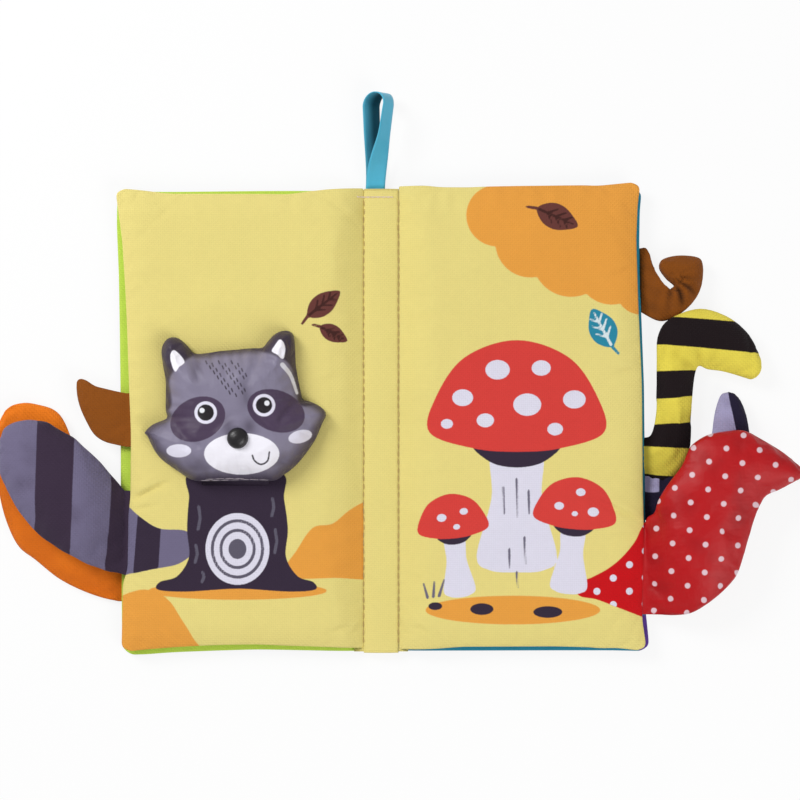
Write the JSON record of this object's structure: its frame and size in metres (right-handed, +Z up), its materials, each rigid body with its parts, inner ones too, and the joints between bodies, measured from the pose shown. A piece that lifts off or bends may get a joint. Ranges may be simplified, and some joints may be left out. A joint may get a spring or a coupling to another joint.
{
  "type": "baby texture book",
  "caption": "Open cloth baby book with padded pages, a lift-up stuffed head, soft tails sewn along the page edges and a ribbon loop at the spine.",
  "frame": {"origin": "on the floor under the middle of the spine, on the flat outer face of the spine's cover strip", "axes": "+Z up out of the open pages, +X to the reader's right along the spread, +Y towards the top edge of the pages and the ribbon loop"},
  "size_m": [0.4177, 0.2891, 0.0316],
  "materials": {
    "page_yellow": "fine woven printed cotton, matt",
    "lining_green": "fine woven printed cotton, matt",
    "lining_teal": "fine woven printed cotton, matt",
    "cover_purple": "fine woven printed cotton, matt",
    "wadding": "loose white polyester wadding",
    "crackle_film": "thin crackling film",
    "ribbon_teal": "narrow woven ribbon, soft sheen",
    "head_grey": "smooth satin-like cloth with soft sheen",
    "nose_black": "padded black cloth",
    "squeaker_white": "moulded plastic",
    "tail_grey": "grey and dark striped cotton, matt",
    "tail_orange": "orange cotton, matt",
    "tail_brown": "brown felt-like cloth, matt",
    "tail_red": "red satin with pale dots, glossy",
    "tail_yellow_black": "yellow and black striped cotton, matt",
    "tail_white_navy": "pale lilac and navy cotton, matt"
  },
  "bodies": {
    "right_page": {"right_page_upper_cloth": "page_yellow", "right_page_lower_cloth": "lining_teal", "right_page_wadding": "wadding", "right_page_crackle_film": "crackle_film"},
    "spine": {"spine_outer_strip": "cover_purple", "spine_wadding": "wadding", "spine_inner_strip": "page_yellow"},
    "left_page": {"left_page_upper_cloth": "page_yellow", "left_page_lower_cloth": "lining_green", "left_page_wadding": "wadding", "left_page_crackle_film": "crackle_film"},
    "front_cover": {"front_cover_upper_cloth": "lining_green", "front_cover_lower_cloth": "cover_purple", "front_cover_wadding": "wadding", "front_cover_crackle_film": "crackle_film"},
    "back_cover": {"back_cover_upper_cloth": "lining_teal", "back_cover_lower_cloth": "cover_purple", "back_cover_wadding": "wadding", "back_cover_crackle_film": "crackle_film"},
    "head": {"stuffed_head": "head_grey", "head_back_panel": "head_grey", "head_squeaker": "squeaker_white", "head_nose": "nose_black"},
    "ribbon": {"ribbon_loop": "ribbon_teal"},
    "grey_striped_tail_body": {"grey_striped_tail": "tail_grey"},
    "orange_tail_body": {"orange_tail": "tail_orange"},
    "brown_flat_tail_body": {"brown_flat_tail": "tail_brown"},
    "red_dotted_tail_body": {"red_dotted_tail": "tail_red"},
    "hooked_striped_tail_body": {"hooked_striped_tail": "tail_yellow_black"},
    "white_navy_tail_body": {"white_navy_tail": "tail_white_navy"},
    "brown_curled_tail_body": {"brown_curled_tail": "tail_brown"}
  },
  "joints": [
    {"name": "spine_fold", "type": "hinge", "parent": "right_page", "child": "spine", "pos_m": [0.009, 0, 0.0043], "axis": [0, 1, 0], "range_deg": [0, 90]},
    {"name": "left_page_fold", "type": "hinge", "parent": "spine", "child": "left_page", "pos_m": [-0.009, 0, 0.0043], "axis": [0, 1, 0], "range_deg": [0, 75]},
    {"name": "front_cover_fold", "type": "hinge", "parent": "left_page", "child": "front_cover", "pos_m": [-0.009, 0, 0], "axis": [0, -1, 0], "range_deg": [0, 150]},
    {"name": "back_cover_fold", "type": "hinge", "parent": "right_page", "child": "back_cover", "pos_m": [0.009, 0, 0], "axis": [0, -1, 0], "range_deg": [-150, 0]},
    {"name": "head_lift", "type": "hinge", "parent": "left_page", "child": "head", "pos_m": [-0.075, -0.031, 0.0109], "axis": [-1, 0, 0], "range_deg": [-100, 0]},
    {"name": "ribbon_swing", "type": "hinge", "parent": "spine", "child": "ribbon", "pos_m": [-0.0024, 0.11975, 0.0022], "axis": [-1, 0, 0], "range_deg": [-75, 75]},
    {"name": "grey_tail_swing", "type": "hinge", "parent": "left_page", "child": "grey_striped_tail_body", "pos_m": [-0.13286, -0.06, 0.0078], "axis": [0, -1, 0], "range_deg": [-70, 0]},
    {"name": "brown_flat_tail_swing", "type": "hinge", "parent": "left_page", "child": "brown_flat_tail_body", "pos_m": [-0.13191, 0, 0.0078], "axis": [0, -1, 0], "range_deg": [-85, 0]},
    {"name": "orange_tail_swing", "type": "hinge", "parent": "front_cover", "child": "orange_tail_body", "pos_m": [-0.13657, -0.07, 0.0025], "axis": [0, -1, 0], "range_deg": [0, 80]},
    {"name": "red_tail_swing", "type": "hinge", "parent": "right_page", "child": "red_dotted_tail_body", "pos_m": [0.13663, -0.076, 0.0078], "axis": [0, 1, 0], "range_deg": [-85, 0]},
    {"name": "hooked_tail_swing", "type": "hinge", "parent": "back_cover", "child": "hooked_striped_tail_body", "pos_m": [0.13745, -0.019, 0.0025], "axis": [0, 1, 0], "range_deg": [-50, 60]},
    {"name": "white_tail_swing", "type": "hinge", "parent": "back_cover", "child": "white_navy_tail_body", "pos_m": [0.13745, -0.042, 0.0025], "axis": [0, 1, 0], "range_deg": [0, 80]},
    {"name": "curled_tail_swing", "type": "hinge", "parent": "back_cover", "child": "brown_curled_tail_body", "pos_m": [0.13774, 0.07, 0.0025], "axis": [0, 1, 0], "range_deg": [-50, 60]}
  ]
}
